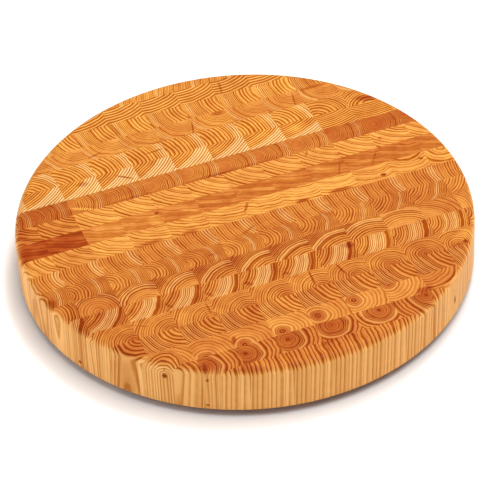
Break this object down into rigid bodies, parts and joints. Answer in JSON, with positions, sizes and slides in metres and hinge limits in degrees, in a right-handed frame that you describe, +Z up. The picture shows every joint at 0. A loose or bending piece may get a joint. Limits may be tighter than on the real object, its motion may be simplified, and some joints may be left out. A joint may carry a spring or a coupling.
{
  "type": "round end-grain chopping block",
  "caption": "Thick round chopping block of larch, glued up from small end-grain blocks in rows, with a rounded rim and rubber feet screwed underneath.",
  "frame": {"origin": "middle of the footprint, on the table under the rubber feet", "axes": "+Z up through the middle of the disc, +X along the rows of blocks, +Y across the rows towards the far side"},
  "size_m": [0.45, 0.45, 0.058],
  "materials": {
    "amber_larch": "oiled end grain, satin",
    "golden_larch": "oiled end grain, satin",
    "russet_larch": "oiled end grain, satin",
    "black_rubber": "moulded, matt",
    "stainless_steel": "plain turned"
  },
  "bodies": {
    "root": {"block_row_01": "amber_larch", "block_row_02": "amber_larch", "block_row_03": "amber_larch", "block_row_04": "amber_larch", "block_row_05": "amber_larch", "block_row_06": "amber_larch", "block_row_07": "russet_larch", "block_row_08": "golden_larch", "block_row_09": "russet_larch", "block_row_10": "golden_larch", "block_row_11": "amber_larch", "block_row_12": "amber_larch", "block_row_13": "russet_larch", "block_row_14": "amber_larch", "block_row_15": "golden_larch", "block_row_16": "amber_larch", "block_row_17": "golden_larch", "block_row_18": "russet_larch", "block_row_19": "russet_larch", "rubber_foot_1": "black_rubber", "rubber_foot_2": "black_rubber", "rubber_foot_3": "black_rubber", "rubber_foot_4": "black_rubber", "foot_washers": "stainless_steel", "foot_screws": "stainless_steel"}
  },
  "joints": []
}
